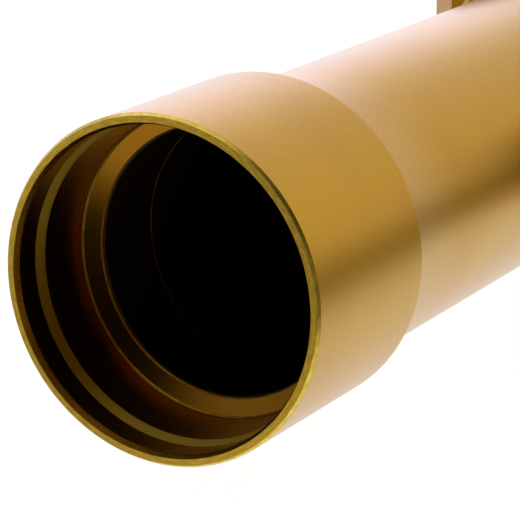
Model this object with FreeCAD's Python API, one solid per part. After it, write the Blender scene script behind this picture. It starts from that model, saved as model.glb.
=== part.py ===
import FreeCAD, Part
import math
import os

# Mirror star diagonal with a long 2 inch nosepiece and a 2 inch eyepiece holder, in millimetres.
# The nose axis is Y and the nose opens towards -Y.
# The origin is on the nose axis, at the front end of the collar's full-size cylinder.
# Every part is drawn with the eyepiece axis up, along +Z. The finished parts are then turned on
# their side about the nose axis, as the diagonal lies on a table, so the eyepiece axis becomes +X.

Vector = FreeCAD.Vector
AXIS_X = Vector(1, 0, 0)
AXIS_Y = Vector(0, 1, 0)
AXIS_Z = Vector(0, 0, 1)

# Optical layout
OPTICAL_Y = 184.0            # the nose axis meets the eyepiece axis here, on the mirror's face
SEAT_GAP = 0.03              # radial gap of a threaded or bonded seat
CLEARANCE = 0.15             # radial gap round a screw that passes through
FAR = 150.0                  # longer than any cut needs to be

# Nose collar: the 2 inch barrel
COLLAR_R = 25.4
COLLAR_LENGTH = 31.1
LIP_Y = -0.55
LIP_OUTER_R = 25.03
LIP_OUTER_Y = -0.47          # the lip slopes back a little towards its outer edge
LIP_INNER_R = 24.10
MOUTH_R = 23.67
MOUTH_Y = 0.53
BAND_FRONT_R = 23.87
BAND_FRONT_Y = 4.78
BAND_BACK_R = 23.38
BAND_BACK_Y = 6.62
SHOULDER_OUTER_R = 22.98
SHOULDER_OUTER_Y = 15.90
SHOULDER_INNER_R = 20.36
SHOULDER_INNER_Y = 17.08
LEDGE_BACK_Y = 17.60
EDGE_BREAK = 0.22

# Nose tube and its black liners
TUBE_R = 22.5
TUBE_BORE_R = 21.08
LINER_R = 21.05
LINER_BORE_R = 20.25
LINER_JOINT_Y = 30.72
LINER_JOINT_GAP = 0.06
TUBE_FRONT_Y = LEDGE_BACK_Y + 0.03

# Housing
HALF_WIDTH = 30.0
TOP_Z = 30.0
FRONT_REACH = 30.0           # from the eyepiece axis to the front face
FRONT_Y = OPTICAL_Y - FRONT_REACH
BASE_Z = -34.3               # underside; the upright back land is as far behind the optical axis
TOP_EDGE_R = 3.0
BELLY_EDGE_R = 18.0
HOUSING_CHAMFER = 1.0
CHIN_REACH = 41.2            # the front lower corner is cut off this far along the mirror's length
NOSE_BORE_R = 21.5
EYE_BORE_R = 22.5
TUBE_SEAT_DEPTH = 5.0
PANEL_DEPTH = 0.6
PANEL_CORNER_R = 3.0
PANEL_OUTLINE = [(-23.0, 22.0), (26.0, 22.0), (26.0, 17.5), (-5.5, -14.0), (-23.0, -14.0)]
TUBE_BACK_Y = FRONT_Y + TUBE_SEAT_DEPTH - 0.05

# Mirror stack, as depths behind the mirror's face
MIRROR_THICKNESS = 7.0
PAD_THICKNESS = 0.7
CARRIER_THICKNESS = 2.6
HOUSING_BACK_DEPTH = 12.5
GASKET_THICKNESS = 0.5
COVER_THICKNESS = 4.0
GASKET_INSET = 1.2           # set back from the housing's outline
COVER_INSET = 0.8
COVER_CHAMFER = 0.6
POCKET_FRONT = 0.4           # room in front of the mirror's face
POCKET_HALF_WIDTH = 25.3
POCKET_HALF_LENGTH = 33.0
MIRROR_HALF_WIDTH = 24.5
MIRROR_HALF_LENGTH = 32.0
PAD_R = 4.0
PAD_SPOTS = [(0.0, 20.0), (-14.0, -13.0), (14.0, -13.0)]
COLLIMATION_SPOTS = [(0.0, 9.0), (-9.0, -4.0), (9.0, -4.0)]
COVER_SCREW_SPOTS = [(24.0, 21.0), (-24.0, 21.0), (-24.0, -21.0), (24.0, -21.0)]
PAD_BACK = MIRROR_THICKNESS + PAD_THICKNESS
CARRIER_BACK = PAD_BACK + CARRIER_THICKNESS
COVER_FRONT = HOUSING_BACK_DEPTH + GASKET_THICKNESS
COVER_BACK = COVER_FRONT + COVER_THICKNESS

# Nose flange
FLANGE_R = 28.0
FLANGE_THICKNESS = 5.0
FLANGE_CHAMFER = 1.0
FLANGE_SCREW_CIRCLE_R = 25.25
FLANGE_SCREW_COUNT = 4
FLANGE_FRONT_Y = FRONT_Y - FLANGE_THICKNESS

# Eyepiece adapter and holder
ADAPTER_BORE_R = 23.0
ADAPTER_SEAT_R = 25.5
ADAPTER_SEAT_DEPTH = 5.0
ADAPTER_FLANGE_R = 27.0
ADAPTER_FLANGE_TOP_Z = 33.5
ADAPTER_SPIGOT_R = 25.0
ADAPTER_SPIGOT_TOP_Z = 37.5
HOLDER_R = 31.0
HOLDER_BASE_Z = 33.6
HOLDER_TOP_Z = 64.0
HOLDER_CHAMFER = 1.2
WAIST_Z = 44.0               # the holder is narrower below this
WAIST_DEPTH = 1.6
GRIP_GROOVES_Z = (47.0, 59.5)
GRIP_GROOVE_DEPTH = 0.5
ADAPTER_GROOVE_DEPTH = 0.45  # where the grub screws bear
SOCKET_R = 25.45             # takes a 50.8 mm eyepiece barrel
SOCKET_FLOOR_Z = 39.5
SOCKET_LIP_R = 23.2
SOCKET_CHAMFER = 0.8
CLAMP_Z = 52.0
CLAMP_GROOVE_R = 27.3
CLAMP_GROOVE_HEIGHT = 5.0
RING_INNER_R = 25.6
RING_OUTER_R = 26.5
RING_HEIGHT = 4.8
RING_SPLIT = 6.0
GRUB_Z = 35.5
GRUB_COUNT = 3

# Thumbscrews, M4, on radii 30 degrees each side of the back
THUMBSCREWS = {"upper": 120.0, "lower": 60.0}
THREAD_R = 2.0
THREAD_GAP = 0.06
PAD_TIP_R = 1.9
PAD_FACE_AT = 27.05          # distance of the pad's face from the eyepiece axis
PAD_TIP_LENGTH = 1.0
PAD_SPIGOT_R = 0.8
PAD_SPIGOT_GAP = 0.05
PAD_SPIGOT_LENGTH = 2.0
SCREW_SHOULDER_AT = 32.2
SCREW_SHOULDER_R = 3.2
KNOB_AT = 35.0
KNOB_LENGTH = 10.0
KNOB_R = 6.5
KNOB_NOTCHES = 24
KNOB_NOTCH_R = 0.45

# Small screws
M25_R = 1.25
M3_R = 1.5
M4_R = 2.0
SHANK_GAP = 0.04
GRUB_HOLE_R = 1.2
GRUB_KEY = 1.3
FLANGE_HEAD_R = 2.25
FLANGE_HEAD_HEIGHT = 2.5
FLANGE_SCREW_LENGTH = 7.0
FLANGE_SCREW_HOLE = 6.0      # depth of the tapped hole in the housing
FLANGE_SCREW_KEY = 2.0
COLLIMATION_HEAD_R = 3.5
COLLIMATION_HEAD_HEIGHT = 2.0
COLLIMATION_KEY = 2.5
COLLIMATION_SINK = 0.2       # the heads sit this far below the cover
BLIND_FLOOR = 0.4            # metal left under the carrier's blind holes
COVER_SCREW_HEAD_R = 3.0
COVER_SCREW_LENGTH = 10.0
COVER_SCREW_HOLE = 7.0       # depth of the tapped hole in the housing
COVER_SCREW_KEY = 2.0
WASHER_R = 4.2
WASHER_THICKNESS = 0.6


def turned(points, axis=AXIS_Y):
    """A ring or disc from (radius, place along the axis) points, turned about a drawn axis."""
    corners = [Vector(r, a, 0) if axis == AXIS_Y else Vector(r, 0, a) for r, a in points]
    face = Part.Face(Part.makePolygon(corners + [corners[0]]))
    solid = face.revolve(Vector(0, 0, 0), axis, 360)
    if solid.Volume < 0:
        solid.reverse()
    return solid


def sleeve(inner_r, outer_r, start, end, axis=AXIS_Y, edge=0.0):
    """A plain tube whose four edges are broken by edge."""
    if edge == 0.0:
        return turned([(inner_r, start), (outer_r, start), (outer_r, end), (inner_r, end)], axis)
    return turned([(inner_r + edge, start), (outer_r - edge, start), (outer_r, start + edge),
                   (outer_r, end - edge), (outer_r - edge, end), (inner_r + edge, end),
                   (inner_r, end - edge), (inner_r, start + edge)], axis)


def rod(radius, length, base, direction):
    return Part.makeCylinder(radius, length, base, direction)


def hex_key_hole(across_flats, depth, base, direction):
    """The hexagonal socket for a key, from base along direction."""
    corner_r = across_flats / math.sqrt(3)
    corners = []
    for step in range(7):
        angle = math.radians(60 * step)
        corners.append(Vector(corner_r * math.cos(angle), corner_r * math.sin(angle), 0))
    prism = Part.Face(Part.makePolygon(corners)).extrude(Vector(0, 0, depth))
    prism.Placement = FreeCAD.Placement(base, FreeCAD.Rotation(AXIS_Z, direction))
    return prism


def cap_screw(thread_r, length, head_r, head_height, key, base, direction):
    """A socket cap screw: base is under the head, direction points along the shank."""
    back = direction * -1
    head = rod(head_r, head_height, base, back)
    shank = rod(thread_r - SHANK_GAP, length, base, direction)
    top = base + back * head_height
    return head.fuse(shank).cut(hex_key_hole(key, head_height * 0.6, top, direction))


def grub_screw(thread_r, length, key, base, direction):
    """A headless set screw from its socket end at base along direction."""
    body = rod(thread_r - SHANK_GAP, length, base, direction)
    return body.cut(hex_key_hole(key, length * 0.5, base, direction))


def countersunk_screw(thread_r, length, head_r, key, base, direction):
    """A countersunk screw whose flat top is at base."""
    cone_height = head_r - thread_r
    cone = Part.makeCone(head_r - 0.05, thread_r - SHANK_GAP, cone_height, base, direction)
    shank = rod(thread_r - SHANK_GAP, length, base, direction)
    return cone.fuse(shank).cut(hex_key_hole(key, cone_height * 0.9, base, direction))


def group(solids):
    return Part.makeCompound(solids)


def behind_mirror(shape):
    """Places a shape drawn flat, mirror's face on z = 0 and depth along -z, on the 45 degree mirror."""
    tilt = FreeCAD.Placement(Vector(0, OPTICAL_Y, 0), FreeCAD.Rotation(AXIS_X, 45))
    shape.Placement = tilt.multiply(shape.Placement)
    return shape


def mirror_point(x, along, depth):
    """A drawn point from the mirror's own width, length and depth."""
    half = math.sqrt(0.5)
    return Vector(x, OPTICAL_Y + (along + depth) * half, (along - depth) * half)


MIRROR_BACKWARDS = Vector(0, 1, -1).normalize()
MIRROR_FORWARDS = MIRROR_BACKWARDS * -1


def depth_of(point):
    """How far a drawn point lies behind the mirror's face."""
    return (point - Vector(0, OPTICAL_Y, 0)).dot(MIRROR_BACKWARDS)


def oval_plate(half_width, half_length, front, back):
    """An elliptical plate between two depths behind the mirror's face."""
    ellipse = Part.Ellipse(Vector(0, 0, 0), half_length, half_width)
    outline = Part.Wire([ellipse.toShape()])
    plate = Part.Face(outline).extrude(Vector(0, 0, back - front))
    plate.rotate(Vector(0, 0, 0), AXIS_Z, 90)
    plate.translate(Vector(0, 0, -back))
    return behind_mirror(plate)


def slab_behind(front, back):
    """All the space between two depths behind the mirror's face."""
    slab = Part.makeBox(2 * FAR, 2 * FAR, back - front, Vector(-FAR, -FAR, -back))
    return behind_mirror(slab)


def beyond_chin():
    """All the space past the housing's cut-off front lower corner."""
    corner = Vector(-FAR, -FAR - CHIN_REACH, -FAR)
    return behind_mirror(Part.makeBox(2 * FAR, FAR, 2 * FAR, corner))


def housing_block(inset):
    """The housing's outer form: flat sides and top, rounded belly, made smaller by inset."""
    half_width = HALF_WIDTH - inset
    back_land = -BASE_Z
    block = Part.makeBox(2 * half_width, FRONT_REACH + back_land - inset, TOP_Z - BASE_Z - 2 * inset,
                         Vector(-half_width, FRONT_Y, BASE_Z + inset))
    long_edges = [e for e in block.Edges if abs(e.tangentAt(e.FirstParameter).y) > 0.9]
    belly = [e for e in long_edges if e.CenterOfMass.z < 0]
    block = block.makeFillet(BELLY_EDGE_R - inset, belly)
    top = [e for e in block.Edges if abs(e.CenterOfMass.z - (TOP_Z - inset)) < 0.01
           and abs(e.CenterOfMass.x) > half_width - 0.01]
    return block.makeFillet(TOP_EDGE_R - 0.5 * inset, top)


def edges_on_plane(shape, place, coordinate):
    """Edges whose whole length lies on the plane where the named coordinate equals place."""
    found = []
    for edge in shape.Edges:
        box = edge.BoundBox
        low = getattr(box, coordinate + "Min")
        high = getattr(box, coordinate + "Max")
        if abs(low - place) < 1e-3 and abs(high - place) < 1e-3:
            found.append(edge)
    return found


def make_nose_collar():
    """Smooth 2 inch barrel: thin lip, stepped mouth, shoulder, and a socket for the tube behind it."""
    socket_r = TUBE_R + SEAT_GAP
    shoulder_slope = (SHOULDER_INNER_Y - SHOULDER_OUTER_Y) / (SHOULDER_OUTER_R - SHOULDER_INNER_R)
    profile = [
        (LIP_INNER_R, LIP_Y),
        (LIP_OUTER_R, LIP_OUTER_Y),
        (COLLAR_R, 0.0),
        (COLLAR_R, COLLAR_LENGTH - EDGE_BREAK),
        (COLLAR_R - EDGE_BREAK, COLLAR_LENGTH),
        (socket_r, COLLAR_LENGTH),
        (socket_r, LEDGE_BACK_Y),
        (SHOULDER_INNER_R - 0.06, LEDGE_BACK_Y),
        (SHOULDER_INNER_R - 0.06, SHOULDER_INNER_Y + EDGE_BREAK),
        (SHOULDER_INNER_R + 0.14, SHOULDER_INNER_Y - EDGE_BREAK * shoulder_slope),
        (SHOULDER_OUTER_R - EDGE_BREAK, SHOULDER_OUTER_Y + EDGE_BREAK * shoulder_slope),
        (SHOULDER_OUTER_R + 0.01, SHOULDER_OUTER_Y - EDGE_BREAK),
        (BAND_BACK_R, BAND_BACK_Y),
        (BAND_FRONT_R, BAND_FRONT_Y),
        (MOUTH_R, MOUTH_Y),
    ]
    return turned(profile)


def make_nose_tube():
    return sleeve(TUBE_BORE_R, TUBE_R, TUBE_FRONT_Y, TUBE_BACK_Y, edge=0.15)


def make_front_liner():
    return sleeve(LINER_BORE_R, LINER_R, TUBE_FRONT_Y, LINER_JOINT_Y, edge=0.08)


def make_rear_liner():
    return sleeve(LINER_BORE_R, LINER_R, LINER_JOINT_Y + LINER_JOINT_GAP, TUBE_BACK_Y, edge=0.08)


def flange_screw_angles():
    return [45 + 360 * i / FLANGE_SCREW_COUNT for i in range(FLANGE_SCREW_COUNT)]


def around_nose(radius, angle, y):
    return Vector(radius * math.cos(math.radians(angle)), y, radius * math.sin(math.radians(angle)))


def make_nose_flange():
    """Ring screwed on the housing's front, with counterbored holes and two set-screw holes."""
    bore_r = TUBE_R + SEAT_GAP
    flange = turned([(bore_r, FLANGE_FRONT_Y), (FLANGE_R - FLANGE_CHAMFER, FLANGE_FRONT_Y),
                     (FLANGE_R, FLANGE_FRONT_Y + FLANGE_CHAMFER), (FLANGE_R, FRONT_Y), (bore_r, FRONT_Y)])
    for angle in flange_screw_angles():
        spot = around_nose(FLANGE_SCREW_CIRCLE_R, angle, FLANGE_FRONT_Y)
        flange = flange.cut(rod(M25_R, FLANGE_THICKNESS, spot, AXIS_Y))
        flange = flange.cut(rod(FLANGE_HEAD_R + 0.1, FLANGE_HEAD_HEIGHT + 0.1, spot, AXIS_Y))
    middle = (FLANGE_FRONT_Y + FRONT_Y) / 2
    return flange.cut(rod(GRUB_HOLE_R, 2 * FLANGE_R, Vector(-FLANGE_R, middle, 0), AXIS_X))


def make_nose_flange_screws():
    screws = []
    for angle in flange_screw_angles():
        under_head = around_nose(FLANGE_SCREW_CIRCLE_R, angle, FLANGE_FRONT_Y + FLANGE_HEAD_HEIGHT + 0.1)
        screws.append(cap_screw(M25_R, FLANGE_SCREW_LENGTH, FLANGE_HEAD_R, FLANGE_HEAD_HEIGHT,
                                FLANGE_SCREW_KEY, under_head, AXIS_Y))
    return group(screws)


def make_nose_set_screws():
    middle = (FLANGE_FRONT_Y + FRONT_Y) / 2
    screws = []
    for side in (-1, 1):
        start = Vector(side * (FLANGE_R - 0.5), middle, 0)
        length = FLANGE_R - 0.5 - TUBE_R - 0.02
        screws.append(grub_screw(GRUB_HOLE_R, length, GRUB_KEY, start, Vector(-side, 0, 0)))
    return group(screws)


def side_panel(side):
    """The shallow recess in one cheek, which follows the cheek's outline."""
    points = [Vector(0, OPTICAL_Y + y, z) for y, z in PANEL_OUTLINE]
    panel = Part.Face(Part.makePolygon(points + [points[0]])).extrude(Vector(2 * PANEL_DEPTH, 0, 0))
    short_edges = [e for e in panel.Edges if abs(e.tangentAt(e.FirstParameter).x) > 0.9]
    panel = panel.makeFillet(PANEL_CORNER_R, short_edges)
    panel.translate(Vector(side * HALF_WIDTH - PANEL_DEPTH, 0, 0))
    return panel


def make_housing():
    """One milled block: nose bore, eyepiece bore, 45 degree mirror pocket and shallow cheek panels."""
    block = housing_block(0.0)
    back_y = OPTICAL_Y - BASE_Z
    block = block.makeChamfer(HOUSING_CHAMFER, edges_on_plane(block, FRONT_Y, "Y"))
    block = block.makeChamfer(HOUSING_CHAMFER, edges_on_plane(block, back_y, "Y"))
    block = block.cut(slab_behind(HOUSING_BACK_DEPTH, FAR))
    block = block.cut(beyond_chin())
    nose_bore = rod(NOSE_BORE_R, 2 * FRONT_REACH, Vector(0, FRONT_Y, 0), AXIS_Y)
    eye_bore = rod(EYE_BORE_R, 2 * TOP_Z, Vector(0, OPTICAL_Y, TOP_Z), AXIS_Z * -1)
    light_way = nose_bore.fuse(eye_bore).cut(slab_behind(0.0, FAR))
    block = block.cut(light_way)
    block = block.cut(oval_plate(POCKET_HALF_WIDTH, POCKET_HALF_LENGTH, -POCKET_FRONT, FAR))
    block = block.cut(rod(TUBE_R + SEAT_GAP, TUBE_SEAT_DEPTH, Vector(0, FRONT_Y, 0), AXIS_Y))
    block = block.cut(rod(ADAPTER_SEAT_R, ADAPTER_SEAT_DEPTH, Vector(0, OPTICAL_Y, TOP_Z), AXIS_Z * -1))
    for angle in flange_screw_angles():
        spot = around_nose(FLANGE_SCREW_CIRCLE_R, angle, FRONT_Y)
        block = block.cut(rod(M25_R, FLANGE_SCREW_HOLE, spot, AXIS_Y))
    for x, along in COVER_SCREW_SPOTS:
        spot = mirror_point(x, along, HOUSING_BACK_DEPTH)
        block = block.cut(rod(M3_R, COVER_SCREW_HOLE, spot, MIRROR_FORWARDS))
    for side in (-1, 1):
        block = block.cut(side_panel(side))
    return block


def make_mirror():
    return oval_plate(MIRROR_HALF_WIDTH, MIRROR_HALF_LENGTH, 0.0, MIRROR_THICKNESS)


def make_mirror_pads():
    pads = []
    for x, along in PAD_SPOTS:
        pads.append(rod(PAD_R, PAD_THICKNESS, mirror_point(x, along, MIRROR_THICKNESS), MIRROR_BACKWARDS))
    return group(pads)


def make_mirror_carrier():
    """Oval plate that holds the mirror, with a tapped blind hole for each collimation screw."""
    carrier = oval_plate(MIRROR_HALF_WIDTH - 0.2, MIRROR_HALF_LENGTH - 0.2, PAD_BACK, CARRIER_BACK)
    for x, along in COLLIMATION_SPOTS:
        spot = mirror_point(x, along, CARRIER_BACK)
        carrier = carrier.cut(rod(M4_R, CARRIER_THICKNESS - BLIND_FLOOR, spot, MIRROR_FORWARDS))
    return carrier


def make_spring_washers():
    """Two cone washers, back to back, round each collimation screw."""
    inner_r = M4_R + CLEARANCE
    half = (COVER_FRONT - CARRIER_BACK) / 2
    rise = half - WASHER_THICKNESS
    washers = []
    for x, along in COLLIMATION_SPOTS:
        for start, inner, outer in ((CARRIER_BACK, 0.0, rise), (CARRIER_BACK + half, rise, 0.0)):
            profile = [(inner_r, inner), (WASHER_R, outer), (WASHER_R, outer + WASHER_THICKNESS),
                       (inner_r, inner + WASHER_THICKNESS)]
            washer = turned(profile, AXIS_Z)
            washer.Placement = FreeCAD.Placement(mirror_point(x, along, start),
                                                 FreeCAD.Rotation(AXIS_Z, MIRROR_BACKWARDS))
            washers.append(washer)
    return group(washers)


def make_collimation_screws():
    screws = []
    under_head = COVER_BACK - COLLIMATION_HEAD_HEIGHT - COLLIMATION_SINK
    for x, along in COLLIMATION_SPOTS:
        length = under_head - CARRIER_BACK + CARRIER_THICKNESS - 1.5 * BLIND_FLOOR
        screws.append(cap_screw(M4_R, length, COLLIMATION_HEAD_R, COLLIMATION_HEAD_HEIGHT, COLLIMATION_KEY,
                                mirror_point(x, along, under_head), MIRROR_FORWARDS))
    return group(screws)


def make_cover_gasket():
    gasket = housing_block(GASKET_INSET).common(slab_behind(HOUSING_BACK_DEPTH, COVER_FRONT))
    gasket = gasket.cut(oval_plate(POCKET_HALF_WIDTH, POCKET_HALF_LENGTH, 0.0, FAR))
    for x, along in COVER_SCREW_SPOTS:
        spot = mirror_point(x, along, HOUSING_BACK_DEPTH)
        gasket = gasket.cut(rod(M3_R + 0.1, 1.0, spot, MIRROR_BACKWARDS))
    return gasket


def make_back_cover():
    """Flat plate over the mirror pocket, with countersunk fixing holes and collimation holes."""
    cover = housing_block(COVER_INSET).common(slab_behind(COVER_FRONT, COVER_BACK))
    rim = [e for e in cover.Edges if abs(depth_of(e.CenterOfMass) - COVER_BACK) < 1e-3]
    cover = cover.makeChamfer(COVER_CHAMFER, rim)
    for x, along in COVER_SCREW_SPOTS:
        top = mirror_point(x, along, COVER_BACK)
        cover = cover.cut(rod(M3_R + 0.05, COVER_THICKNESS + 1.0, top, MIRROR_FORWARDS))
        cover = cover.cut(Part.makeCone(COVER_SCREW_HEAD_R, M3_R, COVER_SCREW_HEAD_R - M3_R, top,
                                        MIRROR_FORWARDS))
    for x, along in COLLIMATION_SPOTS:
        top = mirror_point(x, along, COVER_BACK)
        cover = cover.cut(rod(M4_R + CLEARANCE, COVER_THICKNESS + 1.0, top, MIRROR_FORWARDS))
        cover = cover.cut(rod(COLLIMATION_HEAD_R + 0.2, COLLIMATION_HEAD_HEIGHT + COLLIMATION_SINK, top,
                            MIRROR_FORWARDS))
    return cover


def make_back_cover_screws():
    screws = []
    for x, along in COVER_SCREW_SPOTS:
        top = mirror_point(x, along, COVER_BACK - 0.1)
        screws.append(countersunk_screw(M3_R, COVER_SCREW_LENGTH, COVER_SCREW_HEAD_R - 0.1, COVER_SCREW_KEY,
                                        top, MIRROR_FORWARDS))
    return group(screws)


def on_eyepiece_axis(shape):
    shape.translate(Vector(0, OPTICAL_Y, 0))
    return shape


def make_eyepiece_adapter():
    """Threaded ring: a spigot down into the housing, a flange, and a spigot up into the holder."""
    seat_r = ADAPTER_SEAT_R - SEAT_GAP
    low = TOP_Z - ADAPTER_SEAT_DEPTH + 0.1
    groove_r = ADAPTER_SPIGOT_R - ADAPTER_GROOVE_DEPTH
    profile = [
        (ADAPTER_BORE_R, low),
        (seat_r, low),
        (seat_r, TOP_Z),
        (ADAPTER_FLANGE_R, TOP_Z),
        (ADAPTER_FLANGE_R, ADAPTER_FLANGE_TOP_Z - 0.3),
        (ADAPTER_FLANGE_R - 0.3, ADAPTER_FLANGE_TOP_Z),
        (ADAPTER_SPIGOT_R, ADAPTER_FLANGE_TOP_Z),
        (ADAPTER_SPIGOT_R, GRUB_Z - 1.6),
        (groove_r, GRUB_Z - 1.25),
        (groove_r, GRUB_Z + 1.25),
        (ADAPTER_SPIGOT_R, GRUB_Z + 1.6),
        (ADAPTER_SPIGOT_R, ADAPTER_SPIGOT_TOP_Z),
        (ADAPTER_BORE_R, ADAPTER_SPIGOT_TOP_Z),
    ]
    return on_eyepiece_axis(turned(profile, AXIS_Z))


def grub_angles():
    return [90 + 360 * i / GRUB_COUNT for i in range(GRUB_COUNT)]


def around_eyepiece(radius, angle, z):
    turn = math.radians(angle)
    return Vector(radius * math.cos(turn), OPTICAL_Y + radius * math.sin(turn), z)


def outwards(angle):
    turn = math.radians(angle)
    return Vector(math.cos(turn), math.sin(turn), 0)


def make_eyepiece_holder():
    """The 2 inch socket: seat for the adapter, barrel stop, socket wall and clamp-ring groove."""
    groove_low = CLAMP_Z - CLAMP_GROOVE_HEIGHT / 2
    groove_high = CLAMP_Z + CLAMP_GROOVE_HEIGHT / 2
    seat_top = ADAPTER_SPIGOT_TOP_Z + 0.05
    waist_r = HOLDER_R - WAIST_DEPTH
    profile = [
        (ADAPTER_SPIGOT_R + SEAT_GAP, HOLDER_BASE_Z),
        (waist_r - 0.8, HOLDER_BASE_Z),
        (waist_r, HOLDER_BASE_Z + 0.8),
        (waist_r, WAIST_Z),
        (HOLDER_R, WAIST_Z + WAIST_DEPTH),
    ]
    for groove_z in GRIP_GROOVES_Z:
        profile += [(HOLDER_R, groove_z - GRIP_GROOVE_DEPTH), (HOLDER_R - GRIP_GROOVE_DEPTH, groove_z),
                    (HOLDER_R, groove_z + GRIP_GROOVE_DEPTH)]
    profile += [
        (HOLDER_R, HOLDER_TOP_Z - HOLDER_CHAMFER),
        (HOLDER_R - HOLDER_CHAMFER, HOLDER_TOP_Z),
        (SOCKET_R + SOCKET_CHAMFER, HOLDER_TOP_Z),
        (SOCKET_R, HOLDER_TOP_Z - SOCKET_CHAMFER),
        (SOCKET_R, groove_high),
        (CLAMP_GROOVE_R, groove_high),
        (CLAMP_GROOVE_R, groove_low),
        (SOCKET_R, groove_low),
        (SOCKET_R, SOCKET_FLOOR_Z),
        (SOCKET_LIP_R, SOCKET_FLOOR_Z),
        (SOCKET_LIP_R, seat_top),
        (ADAPTER_SPIGOT_R + SEAT_GAP, seat_top),
    ]
    holder = on_eyepiece_axis(turned(profile, AXIS_Z))
    for angle in THUMBSCREWS.values():
        start = around_eyepiece(CLAMP_GROOVE_R - 1.0, angle, CLAMP_Z)
        holder = holder.cut(rod(THREAD_R + THREAD_GAP, 8.0, start, outwards(angle)))
    for angle in grub_angles():
        start = around_eyepiece(ADAPTER_SPIGOT_R - 1.0, angle, GRUB_Z)
        holder = holder.cut(rod(GRUB_HOLE_R, 8.0, start, outwards(angle)))
    return holder


def make_holder_set_screws():
    screws = []
    outer = HOLDER_R - WAIST_DEPTH - 0.3
    length = outer - ADAPTER_SPIGOT_R + 0.3
    for angle in grub_angles():
        start = around_eyepiece(outer, angle, GRUB_Z)
        screws.append(grub_screw(GRUB_HOLE_R - 0.02, length, GRUB_KEY, start, outwards(angle) * -1))
    return group(screws)


def make_clamp_ring():
    """Split brass ring that closes on the eyepiece barrel; the gap faces the nose."""
    low = CLAMP_Z - RING_HEIGHT / 2
    ring = sleeve(RING_INNER_R, RING_OUTER_R, low, low + RING_HEIGHT, AXIS_Z, edge=0.2)
    gap = Part.makeBox(RING_SPLIT, 10.0, RING_HEIGHT + 2, Vector(-RING_SPLIT / 2, -RING_OUTER_R - 3, low - 1))
    return on_eyepiece_axis(ring.cut(gap))


def make_pressure_pad(angle):
    """The swivelling pad on a thumbscrew's end: it doesn't turn, the screw turns on its spigot."""
    outward = outwards(angle)
    face = around_eyepiece(PAD_FACE_AT, angle, CLAMP_Z)
    disc = rod(PAD_TIP_R, PAD_TIP_LENGTH, face, outward)
    return disc.fuse(rod(PAD_SPIGOT_R, PAD_TIP_LENGTH + PAD_SPIGOT_LENGTH, face, outward))


def make_thumbscrew(angle):
    """M4 thumbscrew with a notched round head, on a radius of the eyepiece holder."""
    nose = PAD_FACE_AT + PAD_TIP_LENGTH + 0.05
    knob_end = KNOB_AT + KNOB_LENGTH
    bore_r = PAD_SPIGOT_R + PAD_SPIGOT_GAP
    bore_end = nose + PAD_SPIGOT_LENGTH + 0.1
    profile = [
        (bore_r, nose),
        (THREAD_R - 0.2, nose),
        (THREAD_R, nose + 0.2),
        (THREAD_R, SCREW_SHOULDER_AT),
        (SCREW_SHOULDER_R, SCREW_SHOULDER_AT),
        (SCREW_SHOULDER_R, KNOB_AT),
        (KNOB_R - 0.6, KNOB_AT),
        (KNOB_R, KNOB_AT + 0.6),
        (KNOB_R, knob_end - 0.8),
        (KNOB_R - 0.8, knob_end),
        (2.6, knob_end),
        (2.2, knob_end - 0.6),
        (0.0, knob_end - 0.6),
        (0.0, bore_end),
        (bore_r, bore_end),
    ]
    screw = turned(profile, AXIS_Z)
    notches = []
    for i in range(KNOB_NOTCHES):
        turn = 2 * math.pi * i / KNOB_NOTCHES
        base = Vector(KNOB_R * math.cos(turn), KNOB_R * math.sin(turn), KNOB_AT - 1)
        notches.append(rod(KNOB_NOTCH_R, KNOB_LENGTH + 2, base, AXIS_Z))
    screw = screw.cut(group(notches))
    screw.Placement = FreeCAD.Placement(around_eyepiece(0, 0, CLAMP_Z),
                                        FreeCAD.Rotation(AXIS_Z, outwards(angle)))
    return screw


def all_parts():
    parts = {
        "nose_collar": make_nose_collar(),
        "nose_tube": make_nose_tube(),
        "front_liner": make_front_liner(),
        "rear_liner": make_rear_liner(),
        "nose_flange": make_nose_flange(),
        "nose_flange_screws": make_nose_flange_screws(),
        "nose_set_screws": make_nose_set_screws(),
        "housing": make_housing(),
        "mirror": make_mirror(),
        "mirror_pads": make_mirror_pads(),
        "mirror_carrier": make_mirror_carrier(),
        "spring_washers": make_spring_washers(),
        "collimation_screws": make_collimation_screws(),
        "cover_gasket": make_cover_gasket(),
        "back_cover": make_back_cover(),
        "back_cover_screws": make_back_cover_screws(),
        "eyepiece_adapter": make_eyepiece_adapter(),
        "eyepiece_holder": make_eyepiece_holder(),
        "holder_set_screws": make_holder_set_screws(),
        "clamp_ring": make_clamp_ring(),
    }
    for side, angle in THUMBSCREWS.items():
        parts["pressure_pad_" + side] = make_pressure_pad(angle)
        parts["thumbscrew_" + side] = make_thumbscrew(angle)
    return parts


def laid_on_side(shape):
    """Turns a finished part a quarter turn about the nose axis, from +Z round to +X."""
    shape.rotate(Vector(0, 0, 0), AXIS_Y, 90)
    return shape


os.makedirs("parts", exist_ok=True)
for name, drawn in all_parts().items():
    shape = laid_on_side(drawn)
    shape.exportStep("parts/" + name + ".step")
    print(name, "solids", len(shape.Solids), "valid", shape.isValid(), "volume", round(shape.Volume, 2))
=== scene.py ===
import math

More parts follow.
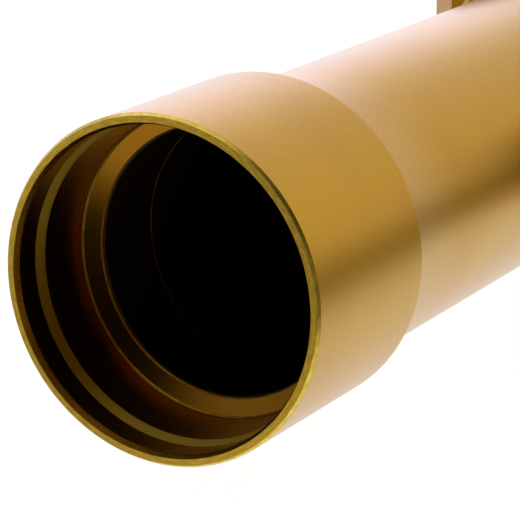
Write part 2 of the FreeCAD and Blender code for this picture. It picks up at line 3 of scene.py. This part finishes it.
import bpy
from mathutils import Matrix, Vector


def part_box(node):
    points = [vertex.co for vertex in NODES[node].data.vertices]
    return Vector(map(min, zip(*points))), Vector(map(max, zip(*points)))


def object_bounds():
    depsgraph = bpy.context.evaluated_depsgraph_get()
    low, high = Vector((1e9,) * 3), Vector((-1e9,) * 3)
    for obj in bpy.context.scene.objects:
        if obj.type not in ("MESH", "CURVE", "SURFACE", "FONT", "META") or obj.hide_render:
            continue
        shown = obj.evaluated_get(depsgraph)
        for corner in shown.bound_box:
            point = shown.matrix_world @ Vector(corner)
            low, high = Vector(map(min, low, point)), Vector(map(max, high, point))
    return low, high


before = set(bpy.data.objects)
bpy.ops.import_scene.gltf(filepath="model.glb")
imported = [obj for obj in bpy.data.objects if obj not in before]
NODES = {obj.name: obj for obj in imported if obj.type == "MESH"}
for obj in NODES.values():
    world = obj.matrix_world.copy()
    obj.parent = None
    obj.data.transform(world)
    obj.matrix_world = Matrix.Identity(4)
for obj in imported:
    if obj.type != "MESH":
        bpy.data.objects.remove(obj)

CAD_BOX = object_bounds()

# Places, in metres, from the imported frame
COLLAR_LOW, COLLAR_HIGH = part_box("nose_collar")
COLLAR_R = (COLLAR_HIGH[0] - COLLAR_LOW[0]) / 2
LIP_Y = COLLAR_LOW[1]
COLLAR_BACK_Y = COLLAR_HIGH[1]
HOLDER_LOW, HOLDER_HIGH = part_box("eyepiece_holder")
EYE_AXIS_Y = (HOLDER_LOW[1] + HOLDER_HIGH[1]) / 2
FLOOR_Z = CAD_BOX[0][2]

# The collar's turned inside, as ratios to its radius
BAND_FRONT_Y = 0.188 * COLLAR_R
BAND_BACK_Y = 0.261 * COLLAR_R
INSIDE_R = 0.945 * COLLAR_R
CHAMFER_R = 0.985 * COLLAR_R
SHOULDER_Y = (0.612 * COLLAR_R, 0.690 * COLLAR_R)
# Radii of the shoulder's two edge rings, painted in cut-metal colour as edge highlights
SHOULDER_OUTER_EDGE_R = (0.8960 * COLLAR_R, 0.9048 * COLLAR_R)
SHOULDER_INNER_EDGE_R = (0.7998 * COLLAR_R, 0.8072 * COLLAR_R)
# Reach and strength of the painted reflection that makes the tube's gold paler just behind the collar
PAINTED_REFLECTION_REACH = 0.024
PAINTED_REFLECTION_STRENGTH = 0.85


# ---------------------------------------------------------------- camera

CAMERA_PLACE = Vector((7.174, -11.672, 4.108)) * COLLAR_R
CAMERA_FORWARD = Vector((-0.4701, 0.8385, -0.2756))
CAMERA_LENS_MM = 181.33
SENSOR_MM = 36.0

camera_data = bpy.data.cameras.new("camera")
camera_data.lens = CAMERA_LENS_MM
camera_data.sensor_width = SENSOR_MM
camera_data.clip_start = 0.01
camera = bpy.data.objects.new("camera", camera_data)
camera.location = CAMERA_PLACE
camera.rotation_euler = CAMERA_FORWARD.to_track_quat("-Z", "Y").to_euler()
bpy.context.scene.collection.objects.link(camera)
bpy.context.scene.camera = camera


# ---------------------------------------------------------------- node-tree helper

class Tree:
    """Short words for building a shader tree."""

    def __init__(self, tree):
        self.tree = tree

    def node(self, kind, **settings):
        made = self.tree.nodes.new("ShaderNode" + kind)
        for name, value in settings.items():
            setattr(made, name, value)
        return made

    def put(self, socket, value):
        if isinstance(value, bpy.types.NodeSocket):
            self.tree.links.new(value, socket)
        else:
            socket.default_value = value

    def math(self, operation, a, b=0.0, clamp=False):
        made = self.node("Math", operation=operation, use_clamp=clamp)
        self.put(made.inputs[0], a)
        self.put(made.inputs[1], b)
        return made.outputs[0]

    def ramp(self, value, low, high, to_low=0.0, to_high=1.0):
        made = self.node("MapRange", interpolation_type="SMOOTHSTEP")
        self.put(made.inputs["Value"], value)
        self.put(made.inputs["From Min"], low)
        self.put(made.inputs["From Max"], high)
        self.put(made.inputs["To Min"], to_low)
        self.put(made.inputs["To Max"], to_high)
        return made.outputs["Result"]

    def between(self, value, limits, soft):
        """1 between the two limits, falling to 0 over soft on each side."""
        low, high = limits
        return self.math("MULTIPLY", self.ramp(value, low - soft, low + soft),
                         self.ramp(value, high + soft, high - soft))

    def mix(self, factor, a, b):
        made = self.node("Mix", data_type="RGBA")
        self.put(made.inputs["Factor"], factor)
        self.put(made.inputs["A"], a)
        self.put(made.inputs["B"], b)
        return made.outputs["Result"]

    def combine(self, x, y, z):
        made = self.node("CombineXYZ")
        self.put(made.inputs[0], x)
        self.put(made.inputs[1], y)
        self.put(made.inputs[2], z)
        return made.outputs[0]

    def noise(self, vector, scale, detail=2.0, rough=0.5):
        made = self.node("TexNoise")
        self.put(made.inputs["Vector"], vector)
        self.put(made.inputs["Scale"], scale)
        self.put(made.inputs["Detail"], detail)
        self.put(made.inputs["Roughness"], rough)
        return made.outputs["Fac"]

    def split(self, vector):
        made = self.node("SeparateXYZ")
        self.put(made.inputs[0], vector)
        return made.outputs

    def bump(self, height, strength, distance, normal=None):
        made = self.node("Bump")
        self.put(made.inputs["Strength"], strength)
        self.put(made.inputs["Distance"], distance)
        self.put(made.inputs["Height"], height)
        if normal is not None:
            self.put(made.inputs["Normal"], normal)
        return made.outputs["Normal"]


def new_material(name):
    material = bpy.data.materials.new(name)
    material.use_nodes = True
    material.node_tree.nodes.clear()
    tree = Tree(material.node_tree)
    shader = tree.node("BsdfPrincipled")
    output = tree.node("OutputMaterial")
    tree.tree.links.new(shader.outputs[0], output.inputs[0])
    return material, tree, shader


def object_point(tree):
    return tree.node("TexCoord").outputs["Object"]


# ---------------------------------------------------------------- materials

GOLD = (0.600, 0.300, 0.013, 1.0)
GOLD_DEEP = (0.570, 0.280, 0.011, 1.0)
# Cut-metal colours for the lip and chamfer, also painted on the shoulder's edge rings as highlights
GOLD_CUT_AND_EDGE_HIGHLIGHT = (0.87, 0.63, 0.086, 1.0)
GOLD_CUT_DULL_AND_EDGE_HIGHLIGHT = (0.62, 0.44, 0.058, 1.0)
GOLD_BAND = (1.0, 0.68, 0.090, 1.0)
# Darker gold painted over the collar's bore as shade
GOLD_BORE_PAINTED_SHADE = (0.480, 0.240, 0.012, 1.0)
GOLD_WORN = (0.66, 0.46, 0.11, 1.0)
# Paler gold painted on the tube behind the collar as a reflection
GOLD_PAINTED_REFLECTION = (0.640, 0.370, 0.150, 1.0)
DUST = (0.12, 0.07, 0.02, 1.0)
OXIDE_COAT = 0.3
OXIDE_ROUGHNESS = 0.2
OXIDE_IOR = 1.5
TURNED_ROUGHNESS = 0.25
TURNED_ANISOTROPY = 0.5
DRAWN_ROUGHNESS = 0.25        # the tube is smoother and has no turning lines to spread its light
DRAWN_ANISOTROPY = 0.0
CUT_EXTRA_ROUGHNESS = 0.14
BAND_EXTRA_ROUGHNESS = 0.22


def axis_coordinates(tree, axis):
    """(radius, place along the axis, angle) of a turned part, from its object coordinates."""
    x, y, z = tree.split(object_point(tree))
    if axis == "Y":
        side, along = x, y
    else:
        side, along = tree.math("SUBTRACT", y, EYE_AXIS_Y), x
    radius = tree.math("SQRT", tree.math("ADD", tree.math("MULTIPLY", side, side),
                                         tree.math("MULTIPLY", z, z)))
    angle = tree.math("ARCTAN2", z, side)
    return radius, along, angle


def edge_wear_and_highlight(tree, reach, breakup_scale, least=0.0):
    """0 on open faces and from least up to 1 along sharp edges, broken up by noise."""
    bevel = tree.node("Bevel", samples=6)
    bevel.inputs["Radius"].default_value = reach
    plain = tree.node("NewGeometry").outputs["Normal"]
    dot = tree.node("VectorMath", operation="DOT_PRODUCT")
    tree.put(dot.inputs[0], bevel.outputs["Normal"])
    tree.put(dot.inputs[1], plain)
    edge = tree.ramp(dot.outputs["Value"], 0.995, 0.90, 0.0, 1.0)
    patches = tree.ramp(tree.noise(object_point(tree), breakup_scale, 3.0), 0.35, 0.65, least, 1.0)
    return tree.math("MULTIPLY", edge, patches)


def dust_specks(tree):
    """A few tiny dark specks, about 10 mm apart where there are any."""
    cells = tree.node("TexVoronoi", feature="F1")
    tree.put(cells.inputs["Vector"], object_point(tree))
    tree.put(cells.inputs["Scale"], 95.0)
    speck = tree.ramp(cells.outputs["Distance"], 0.030, 0.016)
    pick = tree.split(cells.outputs["Color"])[0]
    return tree.math("MULTIPLY", speck, tree.math("GREATER_THAN", pick, 0.55))


def coat_with_oxide(shader):
    """The clear anodised layer over the metal."""
    shader.inputs["Coat Weight"].default_value = OXIDE_COAT
    shader.inputs["Coat Roughness"].default_value = OXIDE_ROUGHNESS
    shader.inputs["Coat IOR"].default_value = OXIDE_IOR


def turned_gold(name, axis, cut_lip=False, drawn=False):
    """Satin anodised aluminium with fine turning lines round the part's axis."""
    material, tree, shader = new_material(name)
    radius, along, angle = axis_coordinates(tree, axis)
    point = object_point(tree)
    line_place = tree.combine(tree.math("MULTIPLY", along, 5200.0),
                              tree.math("MULTIPLY", radius, 5200.0),
                              tree.math("MULTIPLY", angle, 0.35))
    lines = tree.noise(line_place, 1.0, 3.0, 0.6)
    cloud = tree.noise(point, 60.0, 3.0)
    grain = tree.noise(point, 9000.0, 1.0)
    colour = tree.mix(tree.ramp(cloud, 0.3, 0.7), GOLD, GOLD_DEEP)
    if drawn:
        # Painted reflection: the tube turns paler over a short reach behind the collar, standing in for light
        # reflected from the collar
        painted_reflection_mask = tree.ramp(along, COLLAR_BACK_Y + PAINTED_REFLECTION_REACH, COLLAR_BACK_Y)
        colour = tree.mix(tree.math("MULTIPLY", painted_reflection_mask, PAINTED_REFLECTION_STRENGTH), colour, GOLD_PAINTED_REFLECTION)
    if cut_lip:
        # Painted shade: inside the bore, fading in over y from 0 to 0.4 mm, the gold turns to a darker copy
        inside = tree.math("LESS_THAN", radius, INSIDE_R)
        bore_painted_shade = tree.math("MULTIPLY", inside, tree.ramp(along, 0.0, 0.0004))
        colour = tree.mix(bore_painted_shade, colour, GOLD_BORE_PAINTED_SHADE)
        lip = tree.ramp(along, LIP_Y + 0.00016, LIP_Y + 0.00009)
        chamfer = tree.math("MULTIPLY", tree.math("GREATER_THAN", radius, CHAMFER_R),
                            tree.ramp(along, -0.00002, -0.00006))
        # The shoulder's two thin edge rings: partly bare cut metal, partly a painted highlight standing in for
        # chamfers the mesh lacks
        outer_edge_highlight = tree.between(radius, SHOULDER_OUTER_EDGE_R, 0.00003)
        inner_edge_highlight = tree.between(radius, SHOULDER_INNER_EDGE_R, 0.00003)
        shoulder_edge_highlights = tree.math("MULTIPLY", tree.math("MAXIMUM", outer_edge_highlight, inner_edge_highlight),
                                   tree.between(along, SHOULDER_Y, 0.0001))
        rough_cut_and_edge_highlights = tree.math("MAXIMUM", lip, shoulder_edge_highlights)
        cut_and_edge_highlights = tree.math("MAXIMUM", rough_cut_and_edge_highlights, chamfer)
        band = tree.math("MULTIPLY", inside, tree.between(along, (BAND_FRONT_Y, BAND_BACK_Y), 0.0001))
        streaks = tree.noise(tree.combine(tree.math("MULTIPLY", angle, 16.0),
                                          tree.math("MULTIPLY", radius, 2500.0), 0.0), 1.0, 4.0, 0.6)
        cut_and_edge_highlight_colour = tree.mix(tree.ramp(streaks, 0.35, 0.65), GOLD_CUT_DULL_AND_EDGE_HIGHLIGHT, GOLD_CUT_AND_EDGE_HIGHLIGHT)
        colour = tree.mix(band, tree.mix(cut_and_edge_highlights, colour, cut_and_edge_highlight_colour), GOLD_BAND)
    wear = edge_wear_and_highlight(tree, 0.00025, 900.0)
    colour = tree.mix(tree.math("MULTIPLY", wear, 0.25), colour, GOLD_WORN)
    colour = tree.mix(tree.math("MULTIPLY", dust_specks(tree), 0.6), colour, DUST)
    tree.put(shader.inputs["Base Color"], colour)
    shader.inputs["Metallic"].default_value = 1.0
    base_rough = DRAWN_ROUGHNESS if drawn else TURNED_ROUGHNESS
    rough = tree.math("ADD", tree.ramp(lines, 0.3, 0.7, base_rough, base_rough + 0.04),
                      tree.ramp(grain, 0.3, 0.7, -0.01, 0.02))
    if cut_lip:
        rough = tree.math("ADD", rough, tree.math("MULTIPLY", rough_cut_and_edge_highlights, CUT_EXTRA_ROUGHNESS))
        rough = tree.math("ADD", rough, tree.math("MULTIPLY", band, BAND_EXTRA_ROUGHNESS))
    tree.put(shader.inputs["Roughness"], rough)
    shader.inputs["Anisotropic"].default_value = DRAWN_ANISOTROPY if drawn else TURNED_ANISOTROPY
    shader.inputs["Anisotropic Rotation"].default_value = 0.25
    tangent = tree.node("Tangent", direction_type="RADIAL", axis=axis)
    tree.put(shader.inputs["Tangent"], tangent.outputs[0])
    coat_with_oxide(shader)
    height = tree.math("ADD", lines, tree.math("MULTIPLY", grain, 0.35))
    tree.put(shader.inputs["Normal"], tree.bump(height, 0.05, 0.00002))
    return material


def milled_gold(name):
    """Bead-blasted anodised aluminium: an even fine grain and worn edges."""
    material, tree, shader = new_material(name)
    point = object_point(tree)
    cloud = tree.noise(point, 45.0, 3.0)
    grain = tree.noise(point, 6500.0, 2.0, 0.7)
    colour = tree.mix(tree.ramp(cloud, 0.3, 0.7), GOLD, GOLD_DEEP)
    wear = edge_wear_and_highlight(tree, 0.0004, 700.0)
    colour = tree.mix(tree.math("MULTIPLY", wear, 0.6), colour, GOLD_WORN)
    tree.put(shader.inputs["Base Color"], colour)
    shader.inputs["Metallic"].default_value = 1.0
    tree.put(shader.inputs["Roughness"], tree.ramp(grain, 0.3, 0.7, 0.36, 0.46))
    coat_with_oxide(shader)
    tree.put(shader.inputs["Normal"], tree.bump(grain, 0.25, 0.00004))
    return material


def black_paint(name):
    """Flat black inside the light path, with a fine sprayed grain and a brown painted highlight along the edges at
    the joint.
    """
    material, tree, shader = new_material(name)
    grain = tree.noise(object_point(tree), 5000.0, 2.0, 0.7)
    colour = tree.mix(grain, (0.006, 0.003, 0.001, 1.0), (0.013, 0.007, 0.003, 1.0))
    # Painted highlight: brown colour along the liner's edges at the joint, standing in for light caught by the seam
    colour = tree.mix(edge_wear_and_highlight(tree, 0.0003, 300.0, 0.7), colour, (0.34, 0.15, 0.05, 1.0))
    tree.put(shader.inputs["Base Color"], colour)
    tree.put(shader.inputs["Roughness"], tree.ramp(grain, 0.3, 0.7, 0.62, 0.75))
    shader.inputs["Specular IOR Level"].default_value = 0.10
    tree.put(shader.inputs["Normal"], tree.bump(grain, 0.3, 0.00005))
    return material


def black_anodised(name):
    """Satin black with a blasted grain and pale rubbed edges."""
    material, tree, shader = new_material(name)
    point = object_point(tree)
    grain = tree.noise(point, 4500.0, 3.0, 0.7)
    wear = edge_wear_and_highlight(tree, 0.0003, 800.0)
    colour = tree.mix(tree.noise(point, 60.0, 2.0), (0.010, 0.010, 0.011, 1.0), (0.018, 0.018, 0.020, 1.0))
    colour = tree.mix(tree.math("MULTIPLY", wear, 0.5), colour, (0.30, 0.30, 0.31, 1.0))
    tree.put(shader.inputs["Base Color"], colour)
    tree.put(shader.inputs["Roughness"], tree.ramp(grain, 0.3, 0.7, 0.30, 0.42))
    shader.inputs["Specular IOR Level"].default_value = 0.35
    tree.put(shader.inputs["Normal"], tree.bump(grain, 0.35, 0.00005))
    return material


def plain_metal(name, colour_a, colour_b, rough_low, rough_high, scale):
    """Turned or drawn metal: small colour change, fine grain and streaks."""
    material, tree, shader = new_material(name)
    point = object_point(tree)
    grain = tree.noise(point, scale, 3.0, 0.6)
    tree.put(shader.inputs["Base Color"], tree.mix(grain, colour_a, colour_b))
    shader.inputs["Metallic"].default_value = 1.0
    tree.put(shader.inputs["Roughness"], tree.ramp(grain, 0.3, 0.7, rough_low, rough_high))
    tree.put(shader.inputs["Normal"], tree.bump(grain, 0.15, 0.00003))
    return material


def mirror_glass(name):
    """Front-surface mirror: a bright coating on the front, fine-ground glass on the sides and back."""
    material, tree, shader = new_material(name)
    x, y, z = tree.split(object_point(tree))
    depth = tree.math("SUBTRACT", tree.math("SUBTRACT", y, EYE_AXIS_Y), x)
    coated = tree.ramp(depth, 0.0004, 0.0002)
    grain = tree.noise(object_point(tree), 3000.0, 2.0)
    ground = tree.mix(grain, (0.42, 0.50, 0.48, 1.0), (0.52, 0.60, 0.58, 1.0))
    tree.put(shader.inputs["Base Color"], tree.mix(coated, ground, (0.93, 0.94, 0.95, 1.0)))
    tree.put(shader.inputs["Metallic"], coated)
    tree.put(shader.inputs["Roughness"], tree.ramp(coated, 0.0, 1.0, 0.55, 0.02))
    return material


def soft_plastic(name, colour_a, colour_b, rough, scale):
    material, tree, shader = new_material(name)
    grain = tree.noise(object_point(tree), scale, 2.0)
    tree.put(shader.inputs["Base Color"], tree.mix(grain, colour_a, colour_b))
    tree.put(shader.inputs["Roughness"], tree.ramp(grain, 0.3, 0.7, rough, rough + 0.12))
    tree.put(shader.inputs["Normal"], tree.bump(grain, 0.2, 0.00005))
    return material


COLLAR_GOLD = turned_gold("collar_gold", "Y", cut_lip=True)
TUBE_GOLD = turned_gold("tube_gold", "Y", drawn=True)
EYE_GOLD = turned_gold("eyepiece_gold", "X")
BLOCK_GOLD = milled_gold("block_gold")
LINER_BLACK = black_paint("liner_black")
ANODISED_BLACK = black_anodised("anodised_black")
SCREW_STEEL = plain_metal("screw_steel", (0.06, 0.06, 0.065, 1.0), (0.11, 0.11, 0.115, 1.0), 0.30, 0.42, 4000.0)
SPRING_STEEL = plain_metal("spring_steel", (0.52, 0.52, 0.53, 1.0), (0.62, 0.61, 0.60, 1.0), 0.22, 0.35, 3000.0)
CLAMP_BRASS = plain_metal("clamp_brass", (0.72, 0.48, 0.18, 1.0), (0.80, 0.56, 0.24, 1.0), 0.20, 0.32, 3500.0)
MIRROR = mirror_glass("mirror_glass")
PAD_RUBBER = soft_plastic("pad_rubber", (0.02, 0.02, 0.02, 1.0), (0.04, 0.04, 0.04, 1.0), 0.6, 2500.0)
NYLON = soft_plastic("nylon", (0.72, 0.70, 0.64, 1.0), (0.80, 0.78, 0.72, 1.0), 0.35, 2000.0)

FINISHES = {
    COLLAR_GOLD: ["nose_collar", "nose_flange"],
    TUBE_GOLD: ["nose_tube"],
    EYE_GOLD: ["eyepiece_adapter", "eyepiece_holder"],
    BLOCK_GOLD: ["housing"],
    LINER_BLACK: ["front_liner", "rear_liner"],
    ANODISED_BLACK: ["mirror_carrier", "back_cover", "thumbscrew_upper", "thumbscrew_lower"],
    SCREW_STEEL: ["nose_flange_screws", "nose_set_screws", "collimation_screws", "back_cover_screws",
                  "holder_set_screws"],
    SPRING_STEEL: ["spring_washers"],
    CLAMP_BRASS: ["clamp_ring"],
    MIRROR: ["mirror"],
    PAD_RUBBER: ["mirror_pads", "cover_gasket"],
    NYLON: ["pressure_pad_upper", "pressure_pad_lower"],
}

for material, names in FINISHES.items():
    for name in names:
        for material_slot in NODES[name].material_slots:
            material_slot.material = material


# ---------------------------------------------------------------- studio

# The white surround's colour by angle round the nose axis, from +X towards +Z, in degrees
SURROUND = [
    (-180, (1.28, 1.34, 1.62)),
    (-135, (1.02, 1.02, 1.02)),
    (-110, (1.00, 0.98, 0.95)),
    (-70, (0.96, 1.00, 0.97)),
    (-45, (0.92, 1.00, 0.95)),
    (-32, (0.80, 0.86, 0.78)),
    (-20, (0.42, 0.41, 0.26)),
    (-10, (0.30, 0.27, 0.10)),
    (-1, (0.53, 0.51, 0.34)),
    (10, (0.79, 0.77, 0.60)),
    (30, (0.80, 0.80, 0.58)),
    (90, (0.84, 0.84, 0.76)),
    (108, (0.96, 0.98, 1.02)),
    (135, (1.28, 1.32, 1.70)),
    (155, (1.40, 1.43, 1.85)),
    (180, (1.28, 1.34, 1.62)),
]
SURROUND_PEAK = 2.0
ROOM_DIRECTION = Vector((0.50, -0.85, 0.15)).normalized()
ROOM_LEVEL = 0.04
ROOM_EDGE_DEGREES = (38, 60)
FLAG_AXIS = Vector((0.669, 0.0, 0.743))
FLAG_REACH = (-0.55, 0.0)                # how far the two dark flags beside the mouth reach along Y
FLAG_DIMMING = 0.9
LEFT_DIMMING = 0.5
FRONT_LOW = (0.60, 0.49, 0.30, 1.0)      # the surround in front of the object, below eye level
FRONT_HIGH = (0.20, 0.16, 0.10, 1.0)     # and above it
WHITE = (1.0, 1.0, 1.0, 1.0)


def studio_world():
    """A white surround open at the front to a dark room, seen as plain white paper by the camera."""
    world = bpy.data.worlds.new("studio")
    world.use_nodes = True
    world.node_tree.nodes.clear()
    tree = Tree(world.node_tree)
    direction = tree.node("TexCoord").outputs["Generated"]
    x, y, z = tree.split(direction)
    turn = tree.math("DIVIDE", tree.math("ARCTAN2", z, x), 2 * math.pi)
    wall = tree.node("ValToRGB")
    tree.put(wall.inputs[0], tree.math("ADD", turn, 0.5))
    stops = wall.color_ramp.elements
    while len(stops) < len(SURROUND):
        stops.new(0.5)
    for stop, (angle, colour) in zip(stops, SURROUND):
        stop.position = angle / 360 + 0.5
        stop.color = (colour[0] / SURROUND_PEAK, colour[1] / SURROUND_PEAK, colour[2] / SURROUND_PEAK, 1.0)
    toward_room = tree.node("VectorMath", operation="DOT_PRODUCT")
    tree.put(toward_room.inputs[0], direction)
    tree.put(toward_room.inputs[1], ROOM_DIRECTION)
    front = tree.mix(tree.ramp(z, -0.1, 0.1), FRONT_LOW, FRONT_HIGH)
    gain = tree.mix(tree.ramp(y, -0.2, -0.65), WHITE, front)
    surround = tree.node("VectorMath", operation="MULTIPLY")
    tree.put(surround.inputs[0], wall.outputs[0])
    tree.put(surround.inputs[1], gain)
    room_inner, room_outer = [math.cos(math.radians(edge)) for edge in ROOM_EDGE_DEGREES]
    room = tree.ramp(toward_room.outputs["Value"], room_outer, room_inner, 1.0, ROOM_LEVEL)
    toward_flag = tree.node("VectorMath", operation="DOT_PRODUCT")
    tree.put(toward_flag.inputs[0], direction)
    tree.put(toward_flag.inputs[1], FLAG_AXIS)
    flag = tree.math("MULTIPLY", tree.ramp(tree.math("ABSOLUTE", toward_flag.outputs["Value"]), 0.78, 0.93),
                     tree.between(y, FLAG_REACH, 0.1))
    left = tree.math("MULTIPLY", tree.ramp(x, -0.6, -0.85), tree.ramp(y, 0.6, 0.2))
    open_part = tree.math("MULTIPLY", tree.math("SUBTRACT", 1.0, tree.math("MULTIPLY", flag, FLAG_DIMMING)),
                          tree.math("SUBTRACT", 1.0, tree.math("MULTIPLY", left, LEFT_DIMMING)))
    light = tree.node("Background")
    tree.put(light.inputs["Color"], surround.outputs[0])
    tree.put(light.inputs["Strength"], tree.math("MULTIPLY", tree.math("MULTIPLY", room, open_part), SURROUND_PEAK))
    paper = tree.node("Background")
    paper.inputs["Color"].default_value = WHITE
    paper.inputs["Strength"].default_value = 1.0
    choose = tree.node("MixShader")
    tree.put(choose.inputs[0], tree.node("LightPath").outputs["Is Camera Ray"])
    tree.tree.links.new(light.outputs[0], choose.inputs[1])
    tree.tree.links.new(paper.outputs[0], choose.inputs[2])
    output = tree.node("OutputWorld")
    tree.tree.links.new(choose.outputs[0], output.inputs[0])
    bpy.context.scene.world = world


def light_table():
    """A pale floor that glows like a light table, so that shadows on it stay faint."""
    size = 6.0
    mesh = bpy.data.meshes.new("floor")
    corners = [(-size, -size, FLOOR_Z), (size, -size, FLOOR_Z), (size, size, FLOOR_Z), (-size, size, FLOOR_Z)]
    mesh.from_pydata(corners, [], [(0, 1, 2, 3)])
    floor = bpy.data.objects.new("floor", mesh)
    bpy.context.scene.collection.objects.link(floor)
    material, tree, shader = new_material("floor_white")
    shader.inputs["Base Color"].default_value = (0.18, 0.18, 0.18, 1.0)
    shader.inputs["Roughness"].default_value = 0.9
    shader.inputs["Specular IOR Level"].default_value = 0.0
    shader.inputs["Emission Color"].default_value = (1.0, 1.0, 1.0, 1.0)
    shader.inputs["Emission Strength"].default_value = 0.96
    mesh.materials.append(material)
    floor.visible_glossy = False


studio_world()
light_table()
bpy.context.scene.view_settings.view_transform = "Standard"
bpy.context.scene.view_settings.look = "None"
